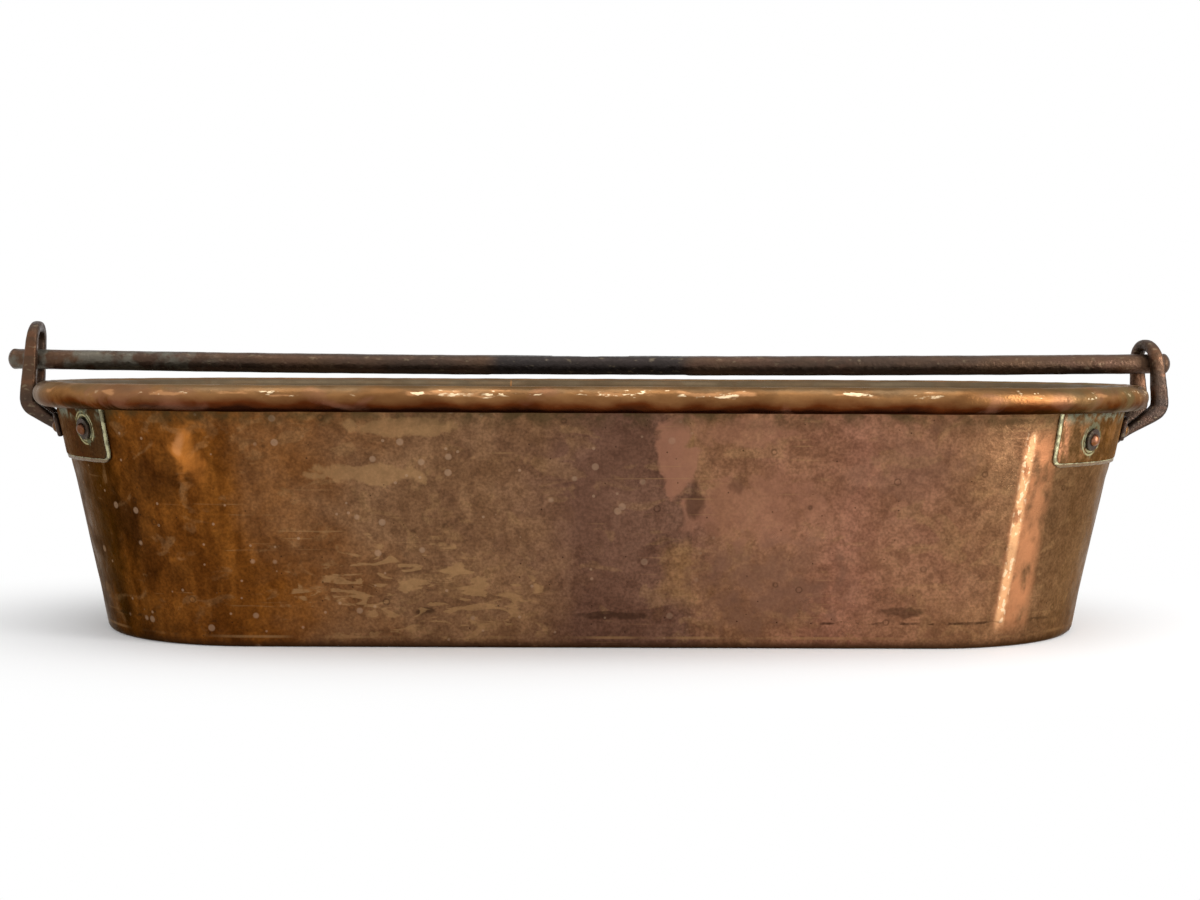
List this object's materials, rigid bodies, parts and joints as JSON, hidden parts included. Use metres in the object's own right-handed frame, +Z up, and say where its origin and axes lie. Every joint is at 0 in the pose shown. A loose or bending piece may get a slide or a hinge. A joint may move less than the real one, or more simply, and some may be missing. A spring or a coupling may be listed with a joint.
{
  "type": "fish kettle",
  "caption": "Long oval copper fish kettle with flared sides, a wired rim and an iron carrying bar held in forged end stirrups.",
  "frame": {"origin": "centre of the underside of the base, on the surface that the kettle stands on", "axes": "+X along the kettle towards the right-hand stirrup as pictured, +Y away from the viewer, +Z up"},
  "size_m": [0.7426, 0.3, 0.191],
  "materials": {
    "copper_wall": "hammered sheet copper with a brown patina",
    "copper_base": "hammered sheet copper, fire darkened",
    "copper_plate": "sheet copper with a brown patina and verdigris",
    "rim_iron": "drawn iron rod, hidden in the rolled edge",
    "spelter": "brazed joint, filed flush",
    "solder": "old soft solder, dull and pale green",
    "rivet_copper": "hammered copper rivet, worn bright",
    "rove_iron": "dark washer with a green crust",
    "forged_iron": "forged, browned and worn at the edges",
    "bar_iron": "wrought bar, browned, blackened at the grip"
  },
  "bodies": {
    "kettle": {"wall_left": "copper_wall", "wall_right": "copper_wall", "base_pan": "copper_base", "rim_wire": "rim_iron", "side_seam_front": "spelter", "side_seam_back": "spelter", "base_seam": "spelter", "end_plate_left": "copper_plate", "plate_solder_left": "solder", "plate_rivets_left": "rivet_copper", "plate_roves_left": "rove_iron", "stirrup_left": "forged_iron", "stirrup_rivets_left": "rivet_copper", "end_plate_right": "copper_plate", "plate_solder_right": "solder", "plate_rivets_right": "rivet_copper", "plate_roves_right": "rove_iron", "stirrup_right": "forged_iron", "stirrup_rivets_right": "rivet_copper"},
    "bar": {"carrying_bar": "bar_iron"}
  },
  "joints": [
    {"name": "bar_lift", "type": "slide", "parent": "kettle", "child": "bar", "axis": [0, 0, 1], "range_m": [-0.0061, 0.0019]}
  ]
}
